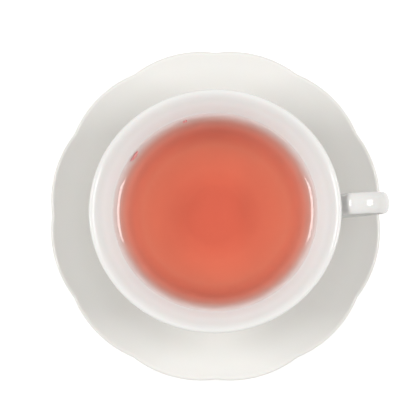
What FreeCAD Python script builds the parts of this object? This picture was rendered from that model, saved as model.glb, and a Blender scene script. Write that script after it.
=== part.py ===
"""A cup of tea on its saucer: a low, flared porcelain cup with an ear-shaped strap handle, filled
with tea to below its lip, standing in the well of a saucer with a scalloped edge.

The origin is on the saucer's axis, on the plane that its foot ring stands on. +Z is up, and the
handle points close to +X. All sizes are in millimetres.
"""

import FreeCAD, Part
import math
import os
import re

import Sketcher
from FreeCAD import Rotation, Vector

# Every size that can be set by itself: alias, value, what it is.
SIZES = [
    ("saucer_width", 151.2, "saucer across two opposite crests of its edge"),
    ("saucer_height", 20.0, "saucer's edge above the table"),
    ("saucer_wall", 3.0, "thickness of the saucer"),
    ("dish_radius", 165.0, "radius of the arc that the saucer's upper side follows"),
    ("scallop_depth", 1.3, "how far a notch lies inside a crest"),
    ("notch_round", 5.0, "rounding of each notch between two scallops"),
    ("edge_round", 1.1, "rounding of the saucer's edge, above and below"),
    ("saucer_foot_width", 82.0, "outer width of the saucer's foot ring"),
    ("saucer_foot_wall", 3.2, "width of the ring that the saucer stands on"),
    ("seat_height", 5.2, "floor of the saucer's well above the table"),
    ("well_depth", 1.0, "depth of the well that the cup's foot stands in"),
    ("foot_clearance", 2.3, "free space round the cup's foot in the well"),
    ("cup_height", 57.0, "cup from its foot to the top of its lip"),
    ("rim_width", 110.4, "mean width to which the wall flares, before its sharp edge is rounded"),
    ("rim_oval", 1.9, "how much the lip is longer, and as much narrower, than its mean width"),
    ("lip_wall", 2.8, "width of the lip"),
    ("lip_round", 0.4, "rounding of the lip, inside and outside"),
    ("belly_radius", 39.3, "outer radius of the bowl below its flare"),
    ("bowl_wall", 2.4, "wall of the bowl below its flare"),
    ("base_radius", 23.0, "radius of the bowl's flat underside"),
    ("bowl_lift", 2.4, "bowl's underside above the plane that its foot stands on"),
    ("bowl_floor", 3.6, "thickness of the bowl's floor"),
    ("floor_radius", 13.0, "radius of the flat middle of the bowl's floor"),
    ("fullness", 8.0, "power that sets how square the bowl's lower corner is"),
    ("corner_power", 2.2, "power that sets how the floor turns into that corner"),
    ("flare_power", 3.2, "power that sets how late the wall flares to the lip"),
    ("cup_foot_width", 52.4, "outer width of the cup's foot ring"),
    ("cup_foot_wall", 3.0, "width of the ring that the cup stands on"),
    ("foot_cove", 1.2, "hollow rounding between the cup's foot ring and its bowl"),
    ("foot_round", 0.6, "rounding of the lower edges of both foot rings"),
    ("tea_below_lip", 11.5, "level of the tea below the top of the lip"),
    ("cup_turn", 3.2, "how far the cup is turned on its saucer, in degrees"),
    ("strap_width", 9.2, "width of the handle's strap"),
    ("strap_thickness", 4.4, "thickness of the handle's strap"),
    ("upper_root", 42.6, "height at which the strap leaves the wall"),
    ("spring_reach", 57.0, "distance from the axis at which the strap turns up"),
    ("loop_top", 52.5, "height of the control points that hold the top of the loop"),
    ("loop_reach", 74.5, "distance from the axis of those that hold its outermost stretch"),
    ("loop_waist", 33.0, "height at which the loop turns back towards the bowl"),
    ("lower_root", 15.8, "height at which the strap meets the bowl again"),
    ("root_round", 2.0, "hollow rounding where the strap meets the wall"),
]
SCALLOPS = 12
STATIONS = 11  # cross-sections of the bowl, from its base to its lip
OVERRUN = 3.0  # how far a shape runs past what it cuts or is cut by

ALIASES = {alias for alias, _, _ in SIZES}

doc = FreeCAD.newDocument("cup_of_tea")
sheet = doc.addObject("Spreadsheet::Sheet", "Sizes")
for row, (alias, value, meaning) in enumerate(SIZES, start=1):
    sheet.set(f"A{row}", meaning)
    sheet.set(f"B{row}", str(value))
    sheet.setAlias(f"B{row}", alias)
doc.recompute()


def named(formula):
    """The formula with each alias written as the sheet's cell."""
    return re.sub(r"[a-z_]+", lambda word: f"Sizes.{word[0]}" if word[0] in ALIASES else word[0], formula)


def number(formula):
    """What the formula comes to with the sheet's present sizes."""
    result = sheet.evalExpression(named(formula))
    return float(getattr(result, "Value", result))


def bind(thing, prop, formula):
    thing.setExpression(prop, named(formula))


def mix(start, end, share):
    """A formula for a place between two others."""
    return f"({start}) + (({end}) - ({start})) * {share}"


def new_body(name):
    body = doc.addObject("PartDesign::Body", name)
    body.Label = name
    return body


def new_sketch(body, name, plane, offset=None):
    """A sketch on one of the body's own origin planes, or off it by the formula in offset."""
    sketch = body.newObject("Sketcher::SketchObject", name)
    plane_of_body = next(f for f in body.Origin.OriginFeatures if f.Role == plane)
    sketch.AttachmentSupport = [(plane_of_body, "")]
    sketch.MapMode = "FlatFace"
    if offset:
        bind(sketch, ".AttachmentOffset.Base.z", offset)
    return sketch


def hold(kind, *where, size):
    """A rule that keeps a dimension of the sketch equal to a formula."""
    return [((kind, *where), size)]


def join(first, first_point, second, second_point):
    """A rule that keeps two points of the sketch together."""
    return [(("Coincident", first, first_point, second, second_point), None)]


def pin(geometry, point, across, up):
    """Rules that keep one point of the sketch at the place two formulas give."""
    rules = []
    for kind, axis, formula in (("DistanceX", -2, across), ("DistanceY", -1, up)):
        if abs(number(formula)) < 1e-9:
            rules.append((("PointOnObject", geometry, point, axis), None))
        else:
            rules += hold(kind, -1, 1, geometry, point, size=formula)
    return rules


def constrain(sketch, rules):
    """Adds all the rules at once, then binds each size to its formula."""
    sizes = [[] if formula is None else [number(formula)] for _, formula in rules]
    first = sketch.ConstraintCount
    sketch.addConstraint([Sketcher.Constraint(*rule, *size) for (rule, _), size in zip(rules, sizes)])
    for index, (_, formula) in enumerate(rules, start=first):
        if formula is not None:
            bind(sketch, f"Constraints[{index}]", formula)


def place(corner):
    across, up = corner
    return Vector(number(across), number(up), 0)


def add_chain(sketch, corners):
    """Straight lines from corner to corner. Returns them and the rules that hold the corners."""
    places = [place(corner) for corner in corners]
    segments = [Part.LineSegment(a, b) for a, b in zip(places, places[1:])]
    lines = list(sketch.addGeometry(segments, False))
    rules = pin(lines[-1], 2, *corners[-1])
    for line, corner in zip(lines, corners):
        rules += pin(line, 1, *corner)
    for line, after in zip(lines, lines[1:]):
        rules += join(line, 2, after, 1)
    return lines, rules


def round_edges(body, name, chosen, radius):
    """Rounds those edges of the body's present shape that the function chosen accepts."""
    base = body.Tip
    names = [f"Edge{i}" for i, edge in enumerate(base.Shape.Edges, start=1) if chosen(edge)]
    if not names:
        raise RuntimeError(f"{name} finds no edge to round")
    fillet = body.newObject("PartDesign::Fillet", name)
    fillet.Base = (base, names)
    bind(fillet, "Radius", radius)
    doc.recompute()
    return fillet


def is_ring(edge, radius, height):
    """True for an edge that runs round the axis at this radius and height."""
    box = edge.BoundBox
    near = 0.02
    wide = abs(box.XMax - radius) < near and abs(box.YMax - radius) < near
    return wide and abs(box.ZMin - height) < near and abs(box.ZMax - height) < near


# ---- saucer: a revolved dish whose edge is cut to twelve arcs

CREST = "saucer_width / 2"
NOTCH = "saucer_width / 2 - scallop_depth"
HALF_SCALLOP = 180 / SCALLOPS
NOTCH_ALONG = f"({NOTCH}) * cos({HALF_SCALLOP})"
# The arc that passes through a crest and the two notches beside it.
SCALLOP_RADIUS = (
    f"(({CREST})^2 + ({NOTCH})^2 - 2 * ({CREST}) * {NOTCH_ALONG}) / (2 * (({CREST}) - {NOTCH_ALONG}))"
)
SCALLOP_CENTRE = f"({CREST}) - ({SCALLOP_RADIUS})"


def arc_centre(start, end, radius):
    """Centre of the arc of this radius that bends upwards from start to end."""
    half = (end - start) * 0.5
    rise = math.sqrt(radius**2 - half.Length**2)
    across = Vector(-half.y, half.x, 0).normalize()
    return start + half + across * rise


def point_on(centre, radius, across):
    """Where the lower side of a circle passes this distance from the axis."""
    return Vector(across, centre.y - math.sqrt(radius**2 - (across - centre.x) ** 2), 0)


def dish_arc(centre, radius, start, end):
    """Part of a circle that runs from start to end along its lower side."""
    angles = [math.atan2(p.y - centre.y, p.x - centre.x) for p in (start, end)]
    return Part.ArcOfCircle(Part.Circle(centre, Vector(0, 0, 1), radius), *angles)


def saucer_section(body):
    """Half of the dish's section: the well, the upper arc, the edge, the underside, the foot ring."""
    sketch = new_sketch(body, "saucer_section", "XZ_Plane")
    foot = "saucer_foot_width / 2"
    foot_inside = f"{foot} - saucer_foot_wall"
    under = "seat_height - saucer_wall"
    well = "cup_foot_width / 2 + foot_clearance"
    bank = f"{well} + well_depth * 1.5"
    outside = f"{CREST} + {OVERRUN}"
    lines, rules = add_chain(
        sketch,
        [(bank, "seat_height + well_depth"), (well, "seat_height"), ("0", "seat_height"), ("0", under),
         (f"{foot_inside} - 0.5", under), (foot_inside, "0"), (foot, "0")],
    )
    radius = number("dish_radius")
    below = radius + number("saucer_wall")
    start = place((bank, "seat_height + well_depth"))
    centre = arc_centre(start, place((CREST, "saucer_height")), radius)
    top_end = point_on(centre, radius, number(outside))
    low_end = point_on(centre, below, number(outside))
    low_start = point_on(centre, below, number(f"{foot} + 0.5"))
    top, low, edge, wall, crest = sketch.addGeometry(
        [
            dish_arc(centre, radius, start, top_end),
            dish_arc(centre, below, low_start, low_end),
            Part.LineSegment(top_end, low_end),
            Part.LineSegment(low_start, place((foot, "0"))),
            Part.Point(place((CREST, "saucer_height"))),
        ],
        False,
    )
    sketch.setConstruction(crest, True)
    rules += join(lines[0], 1, top, 1)
    rules += join(top, 2, edge, 1)
    rules += join(edge, 2, low, 2)
    rules += join(low, 1, wall, 1)
    rules += join(wall, 2, lines[-1], 2)
    rules += join(top, 3, low, 3)
    rules += hold("Radius", top, size="dish_radius")
    rules += hold("Radius", low, size="dish_radius + saucer_wall")
    rules += hold("DistanceX", -1, 1, edge, 1, size=outside)
    rules += hold("DistanceX", -1, 1, edge, 2, size=outside)
    rules += hold("DistanceX", -1, 1, wall, 1, size=f"{foot} + 0.5")
    rules += pin(crest, 1, CREST, "saucer_height")
    rules.append((("PointOnObject", crest, 1, top), None))
    constrain(sketch, rules)
    return sketch


def scallop_outline(body):
    """Everything outside twelve equal arcs that meet in shallow notches."""
    sketch = new_sketch(body, "scallop_outline", "XY_Plane")
    middles = [2 * index * HALF_SCALLOP for index in range(SCALLOPS)]
    arcs = []
    rules = []
    for arc, middle in enumerate(middles):
        points = [(NOTCH, middle - HALF_SCALLOP), (CREST, middle), (NOTCH, middle + HALF_SCALLOP)]
        ends = [Vector(math.cos(math.radians(turn)), math.sin(math.radians(turn)), 0) * number(reach)
                for reach, turn in points]
        arcs.append(Part.Arc(*ends))
        rules += hold("Radius", arc, size=SCALLOP_RADIUS)
        rules += pin(arc, 3, f"({SCALLOP_CENTRE}) * cos({middle})", f"({SCALLOP_CENTRE}) * sin({middle})")
        rules += join(arc, 2, (arc + 1) % SCALLOPS, 1)
    around = f"{CREST} + {2 * OVERRUN}"
    arcs.append(Part.Circle(Vector(0, 0, 0), Vector(0, 0, 1), number(around)))
    rules += join(SCALLOPS, 3, -1, 1)
    rules += hold("Radius", SCALLOPS, size=around)
    sketch.addGeometry(arcs, False)
    constrain(sketch, rules)
    return sketch


def make_saucer():
    body = new_body("saucer")
    dish = body.newObject("PartDesign::Revolution", "dish")
    section = saucer_section(body)
    dish.Profile = section
    dish.ReferenceAxis = (section, ["V_Axis"])
    doc.recompute()
    whole = dish.Shape.Volume
    trim = body.newObject("PartDesign::Pocket", "scallop_trim")
    trim.Profile = scallop_outline(body)
    trim.Type = "ThroughAll"
    trim.Midplane = True
    doc.recompute()
    if not 0.8 * whole < trim.Shape.Volume < whole:
        raise RuntimeError("the scalloped edge is not cut")
    notch = number(NOTCH)

    def at_edge(edge):
        return all(math.hypot(v.Point.x, v.Point.y) > notch - 0.2 for v in edge.Vertexes)

    def upright(edge):
        box = edge.BoundBox
        away = math.hypot(box.Center.x, box.Center.y)
        return at_edge(edge) and box.ZLength > 1 and abs(away - notch) < 0.1

    def level(edge):
        return at_edge(edge) and edge.BoundBox.ZLength < 1.5

    round_edges(body, "notch_rounds", upright, "notch_round")
    round_edges(body, "edge_rounds", level, "edge_round")
    foot = number("saucer_foot_width / 2")
    ring = (foot, foot - number("saucer_foot_wall"))
    round_edges(body, "saucer_foot_rounds", lambda e: any(is_ring(e, r, 0) for r in ring), "foot_round")
    # The section lies on a crest, so half a scallop's turn puts a notch on +X.
    bind(body, ".Placement.Rotation.Angle", f"{HALF_SCALLOP}")
    return body


# ---- cup: an oval, flared bowl on a foot ring, with a strap handle

BASE = "bowl_lift"
FLOOR = "bowl_lift + bowl_floor"
LEVEL = "cup_height - tea_below_lip"


def station(name, height, radius, share):
    """One oval cross-section of the bowl. Share is its place from the base, 0, to the lip, 1."""
    oval = doc.addObject("Part::Ellipse", name)
    stretch = f"rim_oval / rim_width * sqrt({share})"
    bind(oval, "MajorRadius", f"({radius}) * (1 + {stretch})")
    bind(oval, "MinorRadius", f"({radius}) * (1 - {stretch})")
    bind(oval, ".Placement.Base.z", height)
    # The seam of the bowl's surface lies opposite the handle.
    oval.Placement.Rotation = Rotation(Vector(0, 0, 1), 180)
    return oval


def bowl_form(name, low, start, belly, lip):
    """A solid lofted through ovals whose radii swell from a flat base and flare to the lip."""
    ovals = []
    for index in range(STATIONS):
        share = (index / (STATIONS - 1)) ** 2  # closer together at the base, where the form turns fast
        swell = f"(1 - {1 - share}^fullness)^(1 / corner_power)"
        radius = f"{mix(start, belly, swell)} + (({lip}) - ({belly})) * {share}^flare_power"
        ovals.append(station(f"{name}_{index}", mix(low, "cup_height", share), radius, share))
    form = doc.addObject("Part::Loft", name)
    form.Sections = ovals
    form.Solid = True
    return form


def make_cup_foot():
    """The ring that the cup stands on, a little narrower where it meets the bowl."""
    body = new_body("cup_foot")
    section = new_sketch(body, "cup_foot_section", "XZ_Plane")
    outer = "cup_foot_width / 2"
    inner = "cup_foot_width / 2 - cup_foot_wall"
    top = "bowl_lift + bowl_floor * 0.8"
    corners = [(inner, "0"), (outer, "0"), (f"{outer} - 0.6", top), (f"{inner} - 0.6", top), (inner, "0")]
    lines, rules = add_chain(section, corners[:-1])
    closing = section.addGeometry(Part.LineSegment(place(corners[3]), place(corners[0])), False)
    rules += join(lines[-1], 2, closing, 1)
    rules += join(closing, 2, lines[0], 1)
    constrain(section, rules)
    ring = body.newObject("PartDesign::Revolution", "foot_ring")
    ring.Profile = section
    ring.ReferenceAxis = (section, ["V_Axis"])
    return body


def strap_path(body):
    """The ear: a cubic curve whose control points are held by named places."""
    sketch = new_sketch(body, "strap_path", "XZ_Plane")
    inside = "belly_radius"
    corners = [
        (inside, "upper_root"),
        (mix(inside, "spring_reach", 0.38), "upper_root - 0.2"),
        ("spring_reach - 2.1", "upper_root + 0.6"),
        ("spring_reach", mix("upper_root", "loop_top", 0.86)),
        (mix("spring_reach", "loop_reach", 0.19), "loop_top"),
        (mix("spring_reach", "loop_reach", 0.66), "loop_top - 1.1"),
        ("loop_reach", mix("loop_top", "loop_waist", 0.38)),
        ("loop_reach - 0.6", "loop_waist"),
        (mix("loop_reach", inside, 0.23), mix("loop_waist", "lower_root", 0.64)),
        (mix("loop_reach", inside, 0.53), "lower_root + 0.6"),
        (mix("loop_reach", inside, 0.8), "lower_root - 0.2"),
        ("belly_radius - bowl_wall * 1.5", "lower_root + 1.2"),
    ]
    spans = len(corners) - 3
    curve = Part.BSplineCurve()
    curve.buildFromPolesMultsKnots(
        [place(corner) for corner in corners],
        [4] + [1] * (spans - 1) + [4],
        list(range(spans + 1)),
        False,
        3,
    )
    sketch.addGeometry(curve, False)
    sketch.exposeInternalGeometry(0)
    rules = []
    for control, corner in enumerate(corners, start=1):
        rules += pin(control, 3, *corner)
    constrain(sketch, rules)
    return sketch


def make_handle():
    body = new_body("handle")
    path = strap_path(body)
    section = new_sketch(body, "strap_section", "YZ_Plane", offset="belly_radius")
    middle = Vector(0, number("upper_root"), 0)
    half_width = Vector(number("strap_width / 2"), 0, 0)
    half_thickness = Vector(0, number("strap_thickness / 2"), 0)
    section.addGeometry(Part.Ellipse(middle + half_width, middle + half_thickness, middle), False)
    section.exposeInternalGeometry(0)
    rules = pin(0, 3, "0", "upper_root")
    rules.append((("Horizontal", 1), None))
    rules += hold("Distance", 1, size="strap_width")
    rules += hold("Distance", 2, size="strap_thickness")
    constrain(section, rules)
    strap = body.newObject("PartDesign::AdditivePipe", "strap")
    strap.Profile = section
    strap.Spine = (path, ["Edge1"])
    return body


def stand_on_saucer(thing):
    """Seats the cup, or what is in it, in the saucer's well, turned a little."""
    bind(thing, ".Placement.Base.z", "seat_height")
    bind(thing, ".Placement.Rotation.Angle", "cup_turn")


def make_cup(cavity):
    outside = bowl_form("bowl", BASE, "base_radius", "belly_radius", "rim_width / 2")
    clay = doc.addObject("Part::MultiFuse", "clay")
    clay.Shapes = [outside, make_cup_foot(), make_handle()]
    hollow = doc.addObject("Part::Cut", "hollow_cup")
    hollow.Base = clay
    hollow.Tool = cavity
    doc.recompute()
    body = new_body("cup")
    body.BaseFeature = hollow
    doc.recompute()
    top = number("cup_height")
    floor = number(FLOOR)
    foot = number("cup_foot_width / 2")

    def at_root(edge):
        return edge.isClosed() and edge.BoundBox.XMin > foot

    def at_cove(edge):
        box = edge.BoundBox
        return 0.5 < box.ZMin and box.ZMax < floor and foot - 1 < box.XMax < foot + 1 and edge.Length > foot

    def at_foot(edge):
        return edge.BoundBox.ZMax < 0.01

    def at_lip(edge):
        return edge.BoundBox.ZMin > top - 0.01

    round_edges(body, "lip_rounds", at_lip, "lip_round")
    round_edges(body, "handle_roots", at_root, "root_round")
    round_edges(body, "foot_coves", at_cove, "foot_cove")
    round_edges(body, "cup_foot_rounds", at_foot, "foot_round")
    stand_on_saucer(body)
    return body


# ---- tea: what fills the cavity up to its level

def make_tea(cavity):
    filling = doc.addObject("Part::Cylinder", "filling")
    bind(filling, "Radius", "rim_width")
    bind(filling, "Height", LEVEL)
    tea = doc.addObject("Part::Common", "tea")
    tea.Label = "tea"
    tea.Base = cavity
    tea.Tool = filling
    stand_on_saucer(tea)
    return tea


saucer = make_saucer()
cavity = bowl_form("cavity", FLOOR, "floor_radius", "belly_radius - bowl_wall", "rim_width / 2 - lip_wall")
cup = make_cup(cavity)
tea = make_tea(cavity)
doc.recompute()

for thing in doc.Objects:
    if "Invalid" in thing.State or "Error" in thing.State:
        raise RuntimeError(f"{thing.Name} did not build: {thing.State}")
pieces = [saucer, cup, tea]
for piece in pieces:
    shape = piece.Shape
    if shape.isNull() or not shape.isValid() or len(shape.Solids) != 1:
        raise RuntimeError(f"{piece.Label} is not one sound solid")

os.makedirs("parts", exist_ok=True)
for piece in pieces:
    piece.Shape.exportStep(f"parts/{piece.Label}.step")
    box = piece.Shape.BoundBox
    print(f"{piece.Label}: {piece.Shape.Volume / 1000:.1f} cm3, x {box.XMin:.2f} to {box.XMax:.2f}, "
          f"y {box.YMin:.2f} to {box.YMax:.2f}, z {box.ZMin:.2f} to {box.ZMax:.2f}")
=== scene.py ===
import math
import random

import bmesh
import bpy
from mathutils import Matrix, Vector
from mathutils.bvhtree import BVHTree


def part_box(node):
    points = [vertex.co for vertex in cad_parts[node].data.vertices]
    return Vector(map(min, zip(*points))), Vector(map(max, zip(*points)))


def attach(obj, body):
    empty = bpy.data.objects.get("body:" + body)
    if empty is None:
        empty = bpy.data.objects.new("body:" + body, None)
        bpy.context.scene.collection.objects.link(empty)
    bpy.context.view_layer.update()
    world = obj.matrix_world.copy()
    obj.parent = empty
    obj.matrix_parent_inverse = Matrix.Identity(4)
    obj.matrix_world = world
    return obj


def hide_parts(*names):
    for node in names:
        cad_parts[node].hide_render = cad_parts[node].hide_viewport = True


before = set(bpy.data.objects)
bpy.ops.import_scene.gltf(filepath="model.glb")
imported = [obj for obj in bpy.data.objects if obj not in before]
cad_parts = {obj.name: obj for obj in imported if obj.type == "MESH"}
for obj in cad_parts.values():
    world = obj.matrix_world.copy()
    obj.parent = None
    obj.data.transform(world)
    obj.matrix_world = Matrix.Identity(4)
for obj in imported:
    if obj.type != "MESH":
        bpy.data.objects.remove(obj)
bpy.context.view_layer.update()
print("frame loaded:", ", ".join(sorted(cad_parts)))

mm = 0.001
weld = 0.001 * mm                        # points closer together than this are one
noiseSpan = (0.3, 0.7)                   # most of a noise lies between these values


# small helpers that the pieces below share

def addObject(name, data):
    thing = bpy.data.objects.new(name, data)
    bpy.context.scene.collection.objects.link(thing)
    return thing


def smoothMesh(name, points, faces):
    mesh = bpy.data.meshes.new(name)
    mesh.from_pydata(points, [], faces)
    mesh.polygons.foreach_set("use_smooth", [True] * len(mesh.polygons))
    mesh.update()
    return mesh


def newMaterial(name):
    mat = bpy.data.materials.new(name)
    mat.use_nodes = True
    mat.node_tree.nodes.clear()
    return mat


def addNode(mat, kind, inputs=None, **settings):
    # mat may be the world as well
    node = mat.node_tree.nodes.new(kind)
    for key, value in settings.items():
        setattr(node, key, value)
    for key, value in (inputs or {}).items():
        node.inputs[key].default_value = value
    return node


def link(mat, fromSocket, toSocket):
    mat.node_tree.links.new(fromSocket, toSocket)


def addNoise(mat, scale, detail=2.0):
    # noise in the object's own metres, so it needs no UVs
    coord = addNode(mat, "ShaderNodeTexCoord")
    noise = addNode(mat, "ShaderNodeTexNoise", {"Scale": scale, "Detail": detail})
    link(mat, coord.outputs["Object"], noise.inputs["Vector"])
    return noise


def addRamp(mat, factor, stops):
    stops = list(stops)
    ramp = addNode(mat, "ShaderNodeValToRGB")
    points = ramp.color_ramp.elements
    while len(points) < len(stops):
        points.new(0.5)
    for point, (position, colour) in zip(points, stops):
        point.position = position
        point.color = (*colour, 1)
    link(mat, factor, ramp.inputs["Fac"])
    return ramp


def addRange(mat, factor, low, high):
    remap = addNode(mat, "ShaderNodeMapRange", {"To Min": low, "To Max": high})
    link(mat, factor, remap.inputs["Value"])
    return remap


def addBump(mat, height, strength, distance):
    bump = addNode(mat, "ShaderNodeBump", {"Strength": strength, "Distance": distance})
    link(mat, height, bump.inputs["Height"])
    return bump


def overTable(mat):
    # height over what the saucer stands on
    coord = addNode(mat, "ShaderNodeTexCoord")
    split = addNode(mat, "ShaderNodeSeparateXYZ")
    link(mat, coord.outputs["Object"], split.inputs["Vector"])
    return split.outputs["Z"]


def fromAxis(mat, direction=0.0, oval=0.0):
    # distance from the upright axis, evened out for an oval that is long in one direction
    coord = addNode(mat, "ShaderNodeTexCoord")
    flat = addNode(mat, "ShaderNodeMapping", {
        "Rotation": (0, 0, -math.radians(direction)),
        "Scale": (1, 1, 0),
    })
    rounded = addNode(mat, "ShaderNodeMapping", {"Scale": (1, (1 + oval) / (1 - oval), 0)})
    away = addNode(mat, "ShaderNodeVectorMath", operation="LENGTH")
    link(mat, coord.outputs["Object"], flat.inputs["Vector"])
    link(mat, flat.outputs["Vector"], rounded.inputs["Vector"])
    link(mat, rounded.outputs["Vector"], away.inputs[0])
    return away.outputs["Value"]


def fadeTo(mat, colour, distance, start, end, towards):
    # turns a colour into another one while a distance runs from start to end
    fade = addNode(mat, "ShaderNodeMapRange", {"From Min": start, "From Max": end},
                   interpolation_type="SMOOTHSTEP")
    blend = addNode(mat, "ShaderNodeMix", data_type="RGBA")
    blend.inputs["B"].default_value = (*towards, 1)
    link(mat, distance, fade.inputs["Value"])
    link(mat, fade.outputs["Result"], blend.inputs["Factor"])
    link(mat, colour, blend.inputs["A"])
    return blend.outputs["Result"]


# porcelain

porcelainBody = {
    "ior": 1.45,
    "glow": 0.06,                        # share of the light that wanders inside the porcelain
    "glowDepth": 2.0 * mm,
    "cloudScale": 0.3,                   # this and the pits' two are against the glaze's waves
    "pitScale": 14,
    "pitHeight": 0.12,
    "waveStrength": 0.6,
}
cupGlaze = {
    "shade": (0.805, 0.803, 0.797),      # where the glaze lies thin
    "pooled": (0.830, 0.828, 0.822),     # where it lies thick
    "roughness": (0.05, 0.10),
    "orangePeel": 0.035 * mm,            # height of the glaze's soft waves
    "waveScale": 120.0,                  # waves per metre, about
}
# the same glaze, a little darker on the handle: painted shade against the lamps' strong light on
# the strap
handleShadedGlaze = dict(cupGlaze, shade=(0.765, 0.763, 0.757), pooled=(0.792, 0.790, 0.783))
innerPaintedLight = {
    "inside": (0.925, 0.980, 0.985),     # painted light: lighter and cooler low in the bowl than on the lip, against the tea's pink glow
    "fade": 5.5 * mm,                    # height over which it turns into the lip's glaze
}
saucerGlaze = {
    "shade": (0.772, 0.761, 0.736),
    "pooled": (0.804, 0.793, 0.769),
    "roughness": (0.06, 0.12),
    "orangePeel": 0.045 * mm,
    "waveScale": 95.0,
    "paintedEdgeLight": (0.857, 0.850, 0.829),        # painted light: paler towards the scalloped edge
    "paintedEdgeLightFrom": 57.0 * mm,
    "paintedEdgeLightTo": 70.0 * mm,
}


def porcelain(name, glaze, paintedLightBelow=None):
    mat = newMaterial(name)
    clouds = addNoise(mat, glaze["waveScale"] * porcelainBody["cloudScale"], detail=3.0)
    tone = addRamp(mat, clouds.outputs["Fac"], zip(noiseSpan, (glaze["shade"], glaze["pooled"])))
    colour = tone.outputs["Color"]
    # painted light: the inner wall turns lighter and cooler down towards the tea
    if paintedLightBelow is not None:
        colour = fadeTo(mat, colour, overTable(mat), paintedLightBelow + innerPaintedLight["fade"], paintedLightBelow,
                        innerPaintedLight["inside"])
    # painted light: the saucer turns paler towards its edge
    if "paintedEdgeLight" in glaze:
        colour = fadeTo(mat, colour, fromAxis(mat), glaze["paintedEdgeLightFrom"], glaze["paintedEdgeLightTo"], glaze["paintedEdgeLight"])
    waves = addNoise(mat, glaze["waveScale"], detail=1.5)
    gloss = addRange(mat, waves.outputs["Fac"], *glaze["roughness"])
    pits = addNoise(mat, glaze["waveScale"] * porcelainBody["pitScale"])
    grain = addRange(mat, pits.outputs["Fac"], 0.0, porcelainBody["pitHeight"])
    height = addNode(mat, "ShaderNodeMath", operation="ADD")
    link(mat, waves.outputs["Fac"], height.inputs[0])
    link(mat, grain.outputs["Result"], height.inputs[1])
    bump = addBump(mat, height.outputs["Value"],
                   porcelainBody["waveStrength"], glaze["orangePeel"])
    shader = addNode(mat, "ShaderNodeBsdfPrincipled", {
        "IOR": porcelainBody["ior"],
        "Subsurface Weight": porcelainBody["glow"],
        "Subsurface Scale": porcelainBody["glowDepth"],
    })
    output = addNode(mat, "ShaderNodeOutputMaterial")
    link(mat, colour, shader.inputs["Base Color"])
    link(mat, gloss.outputs["Result"], shader.inputs["Roughness"])
    link(mat, bump.outputs["Normal"], shader.inputs["Normal"])
    link(mat, shader.outputs["BSDF"], output.inputs["Surface"])
    return mat


wetGlaze = {
    "ior": 1.12,                         # glaze against tea instead of air, so it hardly shines
    "roughness": 0.12,
    # painted shade: the glaze under the tea darkened and tinted pink, by distance in mm from the
    # cup's axis, most in the middle and in a ring near the wall
    "paintedShadeByRadius": [(0.0, (0.66, 0.49, 0.44)), (12.0, (0.67, 0.51, 0.455)),
                 (21.7, (0.76, 0.68, 0.62)), (32.6, (0.77, 0.73, 0.67)),
                 (39.1, (0.72, 0.47, 0.40)), (41.2, (0.62, 0.41, 0.35)),
                 (43.0, (0.58, 0.50, 0.47)), (45.0, (0.66, 0.64, 0.63))],
    "mottle": (0.955, 1.03),             # soft light and dark patches
    "patchScale": 42.0,
    "waveScale": 90.0,
    "waveHeight": 0.04 * mm,
    "waveStrength": 0.5,
}


def wetPorcelain(direction, oval):
    mat = newMaterial("wetPorcelain")
    widest = wetGlaze["paintedShadeByRadius"][-1][0]
    share = addNode(mat, "ShaderNodeMapRange", {"From Max": widest * mm})
    link(mat, fromAxis(mat, direction, oval), share.inputs["Value"])
    # painted shade under the tea, darkest in the middle and near the wall
    shade = addRamp(mat, share.outputs["Result"],
                    [(stop / widest, colour) for stop, colour in wetGlaze["paintedShadeByRadius"]])
    patches = addNoise(mat, wetGlaze["patchScale"])
    mottle = addRange(mat, patches.outputs["Fac"], *wetGlaze["mottle"])
    paintedShade = addNode(mat, "ShaderNodeVectorMath", operation="SCALE")
    link(mat, shade.outputs["Color"], paintedShade.inputs[0])
    link(mat, mottle.outputs["Result"], paintedShade.inputs["Scale"])
    waves = addNoise(mat, wetGlaze["waveScale"], detail=1.5)
    bump = addBump(mat, waves.outputs["Fac"], wetGlaze["waveStrength"], wetGlaze["waveHeight"])
    shader = addNode(mat, "ShaderNodeBsdfPrincipled", {
        "IOR": wetGlaze["ior"],
        "Roughness": wetGlaze["roughness"],
    })
    output = addNode(mat, "ShaderNodeOutputMaterial")
    link(mat, paintedShade.outputs["Vector"], shader.inputs["Base Color"])
    link(mat, bump.outputs["Normal"], shader.inputs["Normal"])
    link(mat, shader.outputs["BSDF"], output.inputs["Surface"])
    return mat


saucerPorcelain = porcelain("saucerPorcelain", saucerGlaze)
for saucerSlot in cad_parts["saucer"].material_slots:
    saucerSlot.material = saucerPorcelain
print("saucer glazed")


# cup: the wall is turned again from the frame's own section, with a fuller lip; the handle is kept

bowl = {
    "axis": 3.2,                         # direction of the handle, in degrees from +X
    "around": 288,
    "insideJoin": 50.9 * mm,             # height at which the new inner wall takes over
    "outsideJoin": 53.5 * mm,
    "crest": (53.15 * mm, 62.15 * mm),   # distance from the axis and height of the top of the lip
    "lipRadius": 1.0 * mm,
    "insidePull": (2.2 * mm, 3.2 * mm),  # how far it holds its slope, at the join and at the lip
    "outsidePull": (3.0 * mm, 3.6 * mm),  # and the same for the outer wall
    "slopeSpan": 1.5 * mm,               # the slope at a join is taken over this much height
    "underLip": -62,                     # where the lip's round meets the outer wall, in degrees
    "outsideSteps": 14,
    "lipSteps": 12,
    "insideSteps": 26,
    "oval": 0.0175,                      # the lip is this share longer and narrower than its mean
    "step": 0.9 * mm,                    # between the rings of the wall that stays
    "pole": 0.2 * mm,                    # nearer to the axis there are no rings, only one point
    "floorWidth": 25.0 * mm,             # the floor reaches at least this far out from the axis
    "floorHeight": 4.0 * mm,             # and lies at least this far over the foot
    "wetLine": 0.45 * mm,                # how far over its level the tea wets the wall
}
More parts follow.
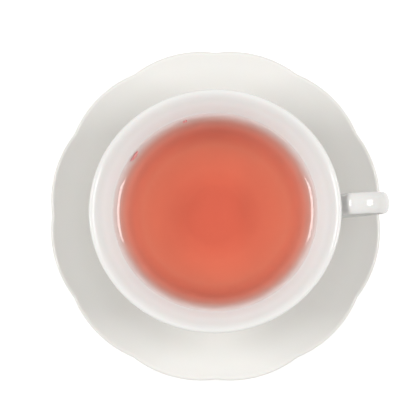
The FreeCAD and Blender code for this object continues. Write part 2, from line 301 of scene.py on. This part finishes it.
handle = {
    "lift": 0.06 * mm,                   # what stands this far off the wall belongs to the handle
    "half": 9.0 * mm,                    # and lies no further than this from its middle line
    "side": 25.0 * mm,                   # and further than this from the cup's axis
    "overFoot": 26.5 * mm,               # and no lower than where the wall is this far out
    "clear": 51.5 * mm,                  # over the join it starts this far out
    "clearSlope": 0.6,                   # and further by this share of the height over the join
    "skirt": 0.8 * mm,                   # how far its roots are sunk into the wall
}


def sectionOf(mesh, angle):
    # the wall cut by a plane through the axis, as a chain of (distance from the axis, height)
    away = Vector((math.cos(angle), math.sin(angle), 0))
    form = bmesh.new()
    form.from_mesh(mesh)
    bmesh.ops.remove_doubles(form, verts=form.verts[:], dist=weld)
    side = away.cross(Vector((0, 0, 1)))
    cut = bmesh.ops.bisect_plane(form, geom=form.verts[:] + form.edges[:] + form.faces[:],
                                 plane_co=(0, 0, 0), plane_no=side, dist=0.1 * weld)
    # only this side of the axis is walked, from the underside's middle over the lip to the floor
    behind = -50 * weld
    near = {}
    for edge in (e for e in cut["geom_cut"] if isinstance(e, bmesh.types.BMEdge)):
        for one, other in (edge.verts, reversed(edge.verts)):
            if one.co.dot(away) > behind and other.co.dot(away) > behind:
                near.setdefault(one, []).append(other)
    chain = [min((v for v in near if len(near[v]) == 1), key=lambda v: v.co.z)]
    seen = set(chain)
    while True:
        following = [v for v in near[chain[-1]] if v not in seen]
        if not following:
            break
        chain.append(following[0])
        seen.add(following[0])
    points = [(max(v.co.dot(away), 0.0), v.co.z) for v in chain]
    form.free()
    return points


def evenSteps(points, step):
    # the same chain with points a step apart
    kept = [points[0]]
    spare = 0.0
    for before, after in zip(points, points[1:]):
        length = math.dist(before, after)
        place = step - spare
        while place < length:
            share = place / length
            kept.append(tuple(a + (b - a) * share for a, b in zip(before, after)))
            place += step
        spare = (spare + length) % step
    kept.append(points[-1])
    return kept


def bezier(start, startPull, endPull, end, steps):
    corners = (start, startPull, endPull, end)
    found = []
    for i in range(steps + 1):
        t = i / steps
        weights = ((1 - t) ** 3, 3 * t * (1 - t) ** 2, 3 * t * t * (1 - t), t ** 3)
        found.append(tuple(sum(w * p[k] for w, p in zip(weights, corners)) for k in (0, 1)))
    return found


def crossing(points, height):
    # distance from the axis at which a chain first passes a height
    for before, after in zip(points, points[1:]):
        if (before[1] - height) * (after[1] - height) <= 0 and before[1] != after[1]:
            share = (height - before[1]) / (after[1] - before[1])
            return before[0] + (after[0] - before[0]) * share
    return None


def joinAt(points, height):
    # the point of a wall at a height, and the way the wall goes up from there
    span = bowl["slopeSpan"]
    out = crossing(points, height)
    below = crossing(points, height - span)
    length = math.hypot(out - below, span)
    return (out, height), ((out - below) / length, span / length)


def pulled(point, way, length):
    return point[0] + way[0] * length, point[1] + way[1] * length


def wallProfile(section):
    # the section with a new upper wall and lip, and the part of its outside that stays
    top = max(range(len(section)), key=lambda i: section[i][1])
    outer = section[:top + 1]
    inner = section[top:]
    low = [p for p in outer if p[1] < bowl["outsideJoin"]]
    deep = [p for p in inner if p[1] < bowl["insideJoin"]]
    outStart, outWay = joinAt(outer, bowl["outsideJoin"])
    inEnd, inWay = joinAt(inner, bowl["insideJoin"])
    crest = bowl["crest"]
    radius = bowl["lipRadius"]
    middle = (crest[0], crest[1] - radius)
    turn = math.radians(bowl["underLip"])
    leave = pulled(middle, (math.cos(turn), math.sin(turn)), radius)
    leaveWay = (math.sin(turn), -math.cos(turn))
    outPull, leavePull = bowl["outsidePull"]
    rise = bezier(outStart, pulled(outStart, outWay, outPull), pulled(leave, leaveWay, leavePull),
                  leave, bowl["outsideSteps"])
    nose = []
    for i in range(1, bowl["lipSteps"]):
        angle = turn + (math.pi / 2 - turn) * i / bowl["lipSteps"]
        nose.append(pulled(middle, (math.cos(angle), math.sin(angle)), radius))
    inPull, crestPull = bowl["insidePull"]
    fall = bezier(crest, pulled(crest, (-1, 0), crestPull), pulled(inEnd, inWay, inPull),
                  inEnd, bowl["insideSteps"])
    return evenSteps(low, bowl["step"]) + rise + nose + fall + evenSteps(deep, bowl["step"]), low


def ovalAt(height, low, high):
    # how far from round the wall is at a height
    share = min(max((height - low) / (high - low), 0.0), 1.0)
    return bowl["oval"] * math.sqrt(share)


def handleOf(mesh, outerWall, low, high):
    # the faces of the frame's cup that stand off its outer wall on the handle's side
    wallUp = [p for p in outerWall if p[0] > handle["overFoot"]]
    turned = math.radians(bowl["axis"])
    form = bmesh.new()
    form.from_mesh(mesh)
    bmesh.ops.remove_doubles(form, verts=form.verts[:], dist=weld)

    def standOff(point):
        # how far a point stands off the wall, or less than nothing where no handle can be
        aside = point.y * math.cos(turned) - point.x * math.sin(turned)
        if point.x <= handle["side"] or abs(aside) > handle["half"] or point.z < wallUp[0][1]:
            return -1.0
        over = point.z - bowl["outsideJoin"]
        if over > 0:
            return point.x - handle["clear"] - handle["clearSlope"] * over
        wall = crossing(wallUp, point.z)
        if wall is None:
            return -1.0
        angle = math.atan2(point.y, point.x) - turned
        oval = ovalAt(point.z, low, high)
        narrow = wall * (1 - oval) / (1 + oval)
        here = wall * narrow / math.hypot(narrow * math.cos(angle), wall * math.sin(angle))
        return math.hypot(point.x, point.y) - here

    reach = {v: standOff(v.co) for v in form.verts}
    away = [f for f in form.faces if max(reach[v] for v in f.verts) < handle["lift"]]
    bmesh.ops.delete(form, geom=away, context="FACES")
    loose = [v for v in form.verts if not v.link_faces]
    bmesh.ops.delete(form, geom=loose, context="VERTS")
    form.verts.index_update()
    points = [tuple(v.co) for v in form.verts]
    faces = [tuple(v.index for v in f.verts) for f in form.faces]
    # a skirt sinks the roots into the wall; points of its own keep it out of the shading
    skirt = {}
    for edge in (e for e in form.edges if e.is_boundary):
        loop = edge.link_loops[0]
        pair = (loop.link_loop_next.vert, loop.vert)
        for v in pair:
            if v not in skirt:
                inward = Vector((v.co.x, v.co.y, 0)).normalized() * handle["skirt"]
                skirt[v] = len(points)
                points += [tuple(v.co), tuple(v.co - inward)]
        one, other = (skirt[v] for v in pair)
        faces.append((one, other, other + 1, one + 1))
    form.free()
    return points, faces


def turnCup():
    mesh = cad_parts["cup"].data
    turned = math.radians(bowl["axis"])
    section = sectionOf(mesh, turned + math.pi)      # the side away from the handle
    profile, outerWall = wallProfile(section)
    low = min(z for r, z in section)
    high = bowl["crest"][1]
    around = bowl["around"]
    rings = [p for p in profile if p[0] > bowl["pole"]]
    points = []
    for radius, height in rings:
        oval = ovalAt(height, low, high)
        narrow = radius * (1 - oval) / (1 + oval)
        for i in range(around):
            angle = 2 * math.pi * i / around
            x = radius * math.cos(angle)
            y = narrow * math.sin(angle)
            points.append((x * math.cos(turned) - y * math.sin(turned),
                           x * math.sin(turned) + y * math.cos(turned), height))
    faces = []
    for ring in range(len(rings) - 1):
        here = ring * around
        for i in range(around):
            after = (i + 1) % around
            faces.append((here + i, here + after, here + around + after, here + around + i))
    turnedFaces = len(faces)
    # a fan closes the middle of the underside and the middle of the floor
    for ring, flip in ((0, True), (len(rings) - 1, False)):
        points.append((0, 0, rings[ring][1]))
        for i in range(around):
            pair = (ring * around + i, ring * around + (i + 1) % around)
            faces.append((*(reversed(pair) if flip else pair), len(points) - 1))
    handlePoints, handleFaces = handleOf(mesh, outerWall, low, high)
    offset = len(points)
    points += handlePoints
    faces += [tuple(index + offset for index in face) for face in handleFaces]
    turnedMesh = smoothMesh("cupWall", points, faces)
    coats = {
        "outside": porcelain("cupPorcelain", cupGlaze),
        "wet": wetPorcelain(bowl["axis"], bowl["oval"]),
        # the handle's darker glaze is painted shade
        "handle": porcelain("handleShadedPorcelain", handleShadedGlaze),
        # the inside carries painted light low in the bowl
        "inside": porcelain("innerPaintedLightPorcelain", cupGlaze, high - innerPaintedLight["fade"]),
    }
    for mat in coats.values():
        turnedMesh.materials.append(mat)
    coatIndex = {name: index for index, name in enumerate(coats)}
    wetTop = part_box("tea")[1][2] + bowl["wetLine"]
    crestRing = max(range(len(rings)), key=lambda ring: rings[ring][1])
    for face in turnedMesh.polygons:
        first = min(face.vertices)
        inside = crestRing < first // around < len(rings) and face.index < turnedFaces
        central = face.center.xy.length < bowl["floorWidth"]
        if (inside or central) and low + bowl["floorHeight"] < face.center.z < wetTop:
            face.material_index = coatIndex["wet"]
        elif inside:
            face.material_index = coatIndex["inside"]
        elif first >= offset:
            face.material_index = coatIndex["handle"]
    thing = addObject("cupWall", turnedMesh)
    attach(thing, "root")
    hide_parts("cup")
    print("cup turned:", len(rings), "rings,", len(handleFaces), "faces of handle")
    return thing


cupWall = turnCup()


# tea

tea = {
    "absorbs": (3.5, 20.8, 28.0),        # red, green and blue taken from light, per metre
    "ior": 1.333,
    "gleam": 0.5,                        # 0.5 is plain water
    "skin": 0.28,                        # bright film on the surface
    "skinIor": 1.6,
    "lampThrough": 0.99,                 # share of the lamps' light that passes the surface
    "rippleScale": 60.0,
    "rippleHeight": 0.02 * mm,
    "rippleStrength": 0.25,
    "intoWall": 0.25 * mm,               # how far the liquid reaches into the porcelain
    "dip": 1.6 * mm,                     # how far its middle lies below the level
    "climbSlope": 0.73,                  # how steeply it is drawn up at the wall
    "climbWidth": 2.7 * mm,              # distance from the wall at which half that slope is left
    "climbSoft": 0.95 * mm,              # how gradually the slope dies out there
    "around": 256,
    "wallRings": 36,
    "wallCrowding": 2.0,                 # above 1 the rings lie closer together towards the floor
    "surfaceRings": 72,
    "surfaceCrowding": 2.2,              # and these towards the wall
}


def climbAt(gap):
    # height of the tea's surface over its flat middle, by distance from the wall
    soft = tea["climbSoft"]
    return tea["climbSlope"] * soft * math.log(1 + math.exp((tea["climbWidth"] - gap) / soft))


def teaMaterial():
    mat = newMaterial("redTea")
    strongest = max(tea["absorbs"])
    passed = [1 - take / strongest for take in tea["absorbs"]]
    shader = addNode(mat, "ShaderNodeBsdfPrincipled", {
        "Base Color": (1, 1, 1, 1),
        "Roughness": 0.0,
        "IOR": tea["ior"],
        "Specular IOR Level": tea["gleam"],
        "Coat Weight": tea["skin"],
        "Coat IOR": tea["skinIor"],
        "Coat Roughness": 0.0,
        "Transmission Weight": 1.0,
    })
    absorption = addNode(mat, "ShaderNodeVolumeAbsorption", {
        "Color": (*passed, 1),
        "Density": strongest,
    })
    ripples = addNoise(mat, tea["rippleScale"], detail=1.0)
    bump = addBump(mat, ripples.outputs["Fac"], tea["rippleStrength"], tea["rippleHeight"])
    clear = addNode(mat, "ShaderNodeBsdfTransparent", {"Color": (*[tea["lampThrough"]] * 3, 1)})
    path = addNode(mat, "ShaderNodeLightPath")
    lampsPass = addNode(mat, "ShaderNodeMixShader")  # lets the lamps light the bowl under the tea
    output = addNode(mat, "ShaderNodeOutputMaterial")
    link(mat, bump.outputs["Normal"], shader.inputs["Normal"])
    link(mat, path.outputs["Is Shadow Ray"], lampsPass.inputs["Fac"])
    link(mat, shader.outputs["BSDF"], lampsPass.inputs[1])
    link(mat, clear.outputs["BSDF"], lampsPass.inputs[2])
    link(mat, lampsPass.outputs["Shader"], output.inputs["Surface"])
    link(mat, absorption.outputs["Volume"], output.inputs["Volume"])
    return mat


teaLow, teaHigh = (Vector(corner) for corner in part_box("tea"))
teaMiddle = (teaLow + teaHigh) / 2
surfaceHeight = teaHigh.z - tea["dip"]           # away from the wall
contactHeight = surfaceHeight + climbAt(0)       # at the wall
cupTree = BVHTree.FromPolygons([v.co.copy() for v in cupWall.data.vertices],
                               [tuple(p.vertices) for p in cupWall.data.polygons])


def innerWall(angle, height):
    # distance from the tea's middle to the inner wall
    start = Vector((teaMiddle.x, teaMiddle.y, height))
    return cupTree.ray_cast(start, Vector((math.cos(angle), math.sin(angle), 0)))[3]


def teaPoint(angle, radius, height):
    return teaMiddle.x + radius * math.cos(angle), teaMiddle.y + radius * math.sin(angle), height


def pourTea():
    into = tea["intoWall"]
    around = tea["around"]
    angles = [2 * math.pi * i / around for i in range(around)]
    rings = []
    # up the inside of the bowl, from its floor to the contact line
    for ring in range(1, tea["wallRings"] + 1):
        share = (ring / tea["wallRings"]) ** tea["wallCrowding"]
        height = teaLow.z + (contactHeight - teaLow.z) * share
        sunk = height - into * (1 - share)
        rings.append([(innerWall(angle, height) + into, sunk) for angle in angles])
    # across the surface, from the contact line to the middle
    edge = [innerWall(angle, contactHeight) + into for angle in angles]
    for ring in range(1, tea["surfaceRings"]):
        inward = (ring / tea["surfaceRings"]) ** tea["surfaceCrowding"]
        gaps = [radius * inward for radius in edge]
        rings.append([(radius - gap, surfaceHeight + climbAt(max(gap - into, 0)))
                      for radius, gap in zip(edge, gaps)])
    points = [teaPoint(0, 0, teaLow.z - into)]
    for row in rings:
        points += [teaPoint(angle, radius, height) for angle, (radius, height) in zip(angles, row)]
    points.append(teaPoint(0, 0, surfaceHeight))
    faces = []
    for i in range(around):
        after = (i + 1) % around
        faces.append((0, 1 + after, 1 + i))
        for ring in range(len(rings) - 1):
            here = 1 + ring * around
            above = here + around
            faces.append((here + i, here + after, above + after, above + i))
        last = 1 + (len(rings) - 1) * around
        faces.append((last + i, last + after, len(points) - 1))
    thing = addObject("redTea", smoothMesh("redTea", points, faces))
    thing.data.materials.append(teaMaterial())
    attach(thing, "root")
    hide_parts("tea")


pourTea()
print("tea poured")


# bubbles left against the wall

bubbles = {
    "seed": 7,
    # direction from the cup's axis in degrees, distance from the wall and size across, both in mm
    "row": [(142.6, 1.10, 0.85), (143.8, 1.25, 1.10), (145.0, 1.40, 1.25), (146.2, 1.40, 1.05),
            (147.4, 1.30, 0.90), (148.5, 1.15, 0.70), (107.9, 1.60, 1.00), (109.3, 1.75, 0.75)],
    "sunk": 0.05,                        # share of a bubble's height under the surface
    "stray": 0.1,                        # degrees a bubble may lie to either side of its place
    "squat": (0.8, 0.95),                # height against width
    "subdivisions": 3,
    "film": (0.62, 0.012, 0.030),        # tea caught round the foot of a bubble
    "top": (0.92, 0.60, 0.57),           # painted highlight on its top, where the real film is clear
    "filmUpTo": 0.70,                    # how much the film may face up and still be red
    "paintedHighlightFrom": 0.97,                     # and from where on it shows the painted highlight
    "speckScale": 2600.0,
    "speckle": 0.12,                     # how far specks move those two limits, either way
    "ior": 1.33,
    "roughness": 0.08,
}


def bubbleFilmAndHighlight():
    mat = newMaterial("bubbleFilmAndHighlight")
    coord = addNode(mat, "ShaderNodeTexCoord")
    slope = addNode(mat, "ShaderNodeSeparateXYZ")
    specks = addNoise(mat, bubbles["speckScale"])
    shifted = addRange(mat, specks.outputs["Fac"], -bubbles["speckle"], bubbles["speckle"])
    upward = addNode(mat, "ShaderNodeMath", operation="ADD")
    # red tea film round a bubble's foot, a painted highlight on its top
    tone = addRamp(mat, upward.outputs["Value"], [
        (bubbles["filmUpTo"], bubbles["film"]),
        (bubbles["paintedHighlightFrom"], bubbles["top"]),
    ])
    shader = addNode(mat, "ShaderNodeBsdfPrincipled", {
        "Roughness": bubbles["roughness"],
        "IOR": bubbles["ior"],
    })
    output = addNode(mat, "ShaderNodeOutputMaterial")
    link(mat, coord.outputs["Normal"], slope.inputs["Vector"])
    link(mat, slope.outputs["Z"], upward.inputs[0])
    link(mat, shifted.outputs["Result"], upward.inputs[1])
    link(mat, tone.outputs["Color"], shader.inputs["Base Color"])
    link(mat, shader.outputs["BSDF"], output.inputs["Surface"])
    return mat


def blowBubbles():
    chance = random.Random(bubbles["seed"])
    form = bmesh.new()
    for degrees, offWallMm, acrossMm in bubbles["row"]:
        offWall = offWallMm * mm
        across = acrossMm * mm
        angle = math.radians(degrees + chance.uniform(-bubbles["stray"], bubbles["stray"]))
        radius = innerWall(angle, contactHeight) - offWall
        height = surfaceHeight + climbAt(offWall) + across * (0.5 - bubbles["sunk"])
        place = Matrix.Translation(teaPoint(angle, radius, height))
        squat = Matrix.Diagonal((1, 1, chance.uniform(*bubbles["squat"]), 1))
        bmesh.ops.create_icosphere(form, subdivisions=bubbles["subdivisions"], radius=across / 2,
                                   matrix=place @ squat)
    for face in form.faces:
        face.smooth = True
    mesh = bpy.data.meshes.new("teaBubbles")
    form.to_mesh(mesh)
    form.free()
    mesh.materials.append(bubbleFilmAndHighlight())
    thing = addObject("teaBubbles", mesh)
    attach(thing, "root")


blowBubbles()
print("bubbles:", len(bubbles["row"]))


# floor, light and camera

studio = {
    "floorSize": 6.0,
    "floorColour": (0.86, 0.86, 0.86),
    "floorShade": 0.985,                 # faint darker clouds in it, against its colour
    "floorCloudScale": 3.0,
    "floorLift": (0.40, 0.68),           # how much paler it shows than it is lit, near and far
    "floorLiftFrom": (0.15, 1.0),        # and how far away in metres near and far are
    "skyColour": (1.0, 0.975, 0.925),
    "skyLevel": 0.46,
    "lampSize": (0.28, 0.45),            # towards the table's middle, and along the table
    "lampDistance": 1.0,
    "lampHeight": 50.0,                  # degrees above the table
    "lampAside": 0.04,                   # how far off the middle line, as a share of its distance
    "leftWatts": 4.15,
    "rightWatts": 3.95,
}


def whiteBackground(mat):
    # 1 where a ray shows the surroundings themselves, 0 where it gathers light for the object
    path = addNode(mat, "ShaderNodeLightPath")
    shiny = addNode(mat, "ShaderNodeMath", operation="MAXIMUM")
    clear = addNode(mat, "ShaderNodeMath", operation="MAXIMUM")
    link(mat, path.outputs["Is Camera Ray"], shiny.inputs[0])
    link(mat, path.outputs["Is Glossy Ray"], shiny.inputs[1])
    link(mat, shiny.outputs["Value"], clear.inputs[0])
    link(mat, path.outputs["Is Transmission Ray"], clear.inputs[1])
    return clear.outputs["Value"]


def layFloor():
    half = studio["floorSize"] / 2
    corners = [(-half, -half, 0), (half, -half, 0), (half, half, 0), (-half, half, 0)]
    mesh = bpy.data.meshes.new("floor")
    mesh.from_pydata(corners, [], [(0, 1, 2, 3)])
    floor = addObject("floor", mesh)
    mat = newMaterial("floorWhite")
    grain = addNoise(mat, studio["floorCloudScale"])
    darker = [c * studio["floorShade"] for c in studio["floorColour"]]
    tone = addRamp(mat, grain.outputs["Fac"], zip(noiseSpan, (darker, studio["floorColour"])))
    near, far = studio["floorLiftFrom"]
    coord = addNode(mat, "ShaderNodeTexCoord")
    away = addNode(mat, "ShaderNodeVectorMath", operation="LENGTH")
    lift = addRange(mat, away.outputs["Value"], *studio["floorLift"])
    lift.inputs["From Min"].default_value = near
    lift.inputs["From Max"].default_value = far
    seen = addNode(mat, "ShaderNodeMath", operation="MULTIPLY")
    paper = addNode(mat, "ShaderNodeBsdfDiffuse")
    glow = addNode(mat, "ShaderNodeEmission", {"Color": (1, 1, 1, 1)})
    both = addNode(mat, "ShaderNodeAddShader")
    output = addNode(mat, "ShaderNodeOutputMaterial")
    link(mat, coord.outputs["Object"], away.inputs[0])
    link(mat, whiteBackground(mat), seen.inputs[0])
    link(mat, lift.outputs["Result"], seen.inputs[1])
    link(mat, tone.outputs["Color"], paper.inputs["Color"])
    link(mat, seen.outputs["Value"], glow.inputs["Strength"])
    link(mat, paper.outputs["BSDF"], both.inputs[0])
    link(mat, glow.outputs["Emission"], both.inputs[1])
    link(mat, both.outputs["Shader"], output.inputs["Surface"])
    mesh.materials.append(mat)


def hangLamp(name, side, watts):
    light = bpy.data.lights.new(name, "AREA")
    light.shape = "RECTANGLE"
    light.size, light.size_y = studio["lampSize"]
    light.energy = watts
    lamp = addObject(name, light)
    tilt = math.radians(studio["lampHeight"])
    back = Vector((side * math.cos(tilt), 0, math.sin(tilt)))
    along = Vector((0, 1, 0))
    lamp.location = (back + along * studio["lampAside"]) * studio["lampDistance"]
    lamp.rotation_euler = Matrix((along.cross(back), along, back)).transposed().to_euler()


def lightSky():
    world = bpy.data.worlds.new("studioWorld")
    world.use_nodes = True
    world.node_tree.nodes.clear()
    bpy.context.scene.world = world
    white = whiteBackground(world)
    level = addRange(world, white, studio["skyLevel"], 1.0)
    tint = addNode(world, "ShaderNodeMix", data_type="RGBA")
    tint.inputs["A"].default_value = (*studio["skyColour"], 1)
    tint.inputs["B"].default_value = (1, 1, 1, 1)
    sky = addNode(world, "ShaderNodeBackground")
    output = addNode(world, "ShaderNodeOutputWorld")
    link(world, white, tint.inputs["Factor"])
    link(world, tint.outputs["Result"], sky.inputs["Color"])
    link(world, level.outputs["Result"], sky.inputs["Strength"])
    link(world, sky.outputs["Background"], output.inputs["Surface"])


layFloor()
hangLamp("lampLeft", -1, studio["leftWatts"])
hangLamp("lampRight", 1, studio["rightWatts"])
lightSky()

view = {
    "place": (0.002, -0.0345, 0.770),
    "aim": (-0.00337, 0.00325, 0.020),
    "width": 0.1885,                     # what it shows across at the aimed point, in metres
    "sensor": 36,
    "nearest": 10.0 * mm,
}


def placeCamera():
    data = bpy.data.cameras.new("camera")
    camera = addObject("camera", data)
    sight = Vector(view["aim"]) - Vector(view["place"])
    back = -sight.normalized()
    right = Vector((0, 1, 0)).cross(back).normalized()
    camera.location = view["place"]
    camera.rotation_euler = Matrix((right, back.cross(right), back)).transposed().to_euler()
    data.sensor_width = view["sensor"]
    data.lens = view["sensor"] * sight.length / view["width"]
    data.clip_start = view["nearest"]
    bpy.context.scene.camera = camera


placeCamera()
bpy.context.scene.view_settings.view_transform = "Standard"
print("studio set")
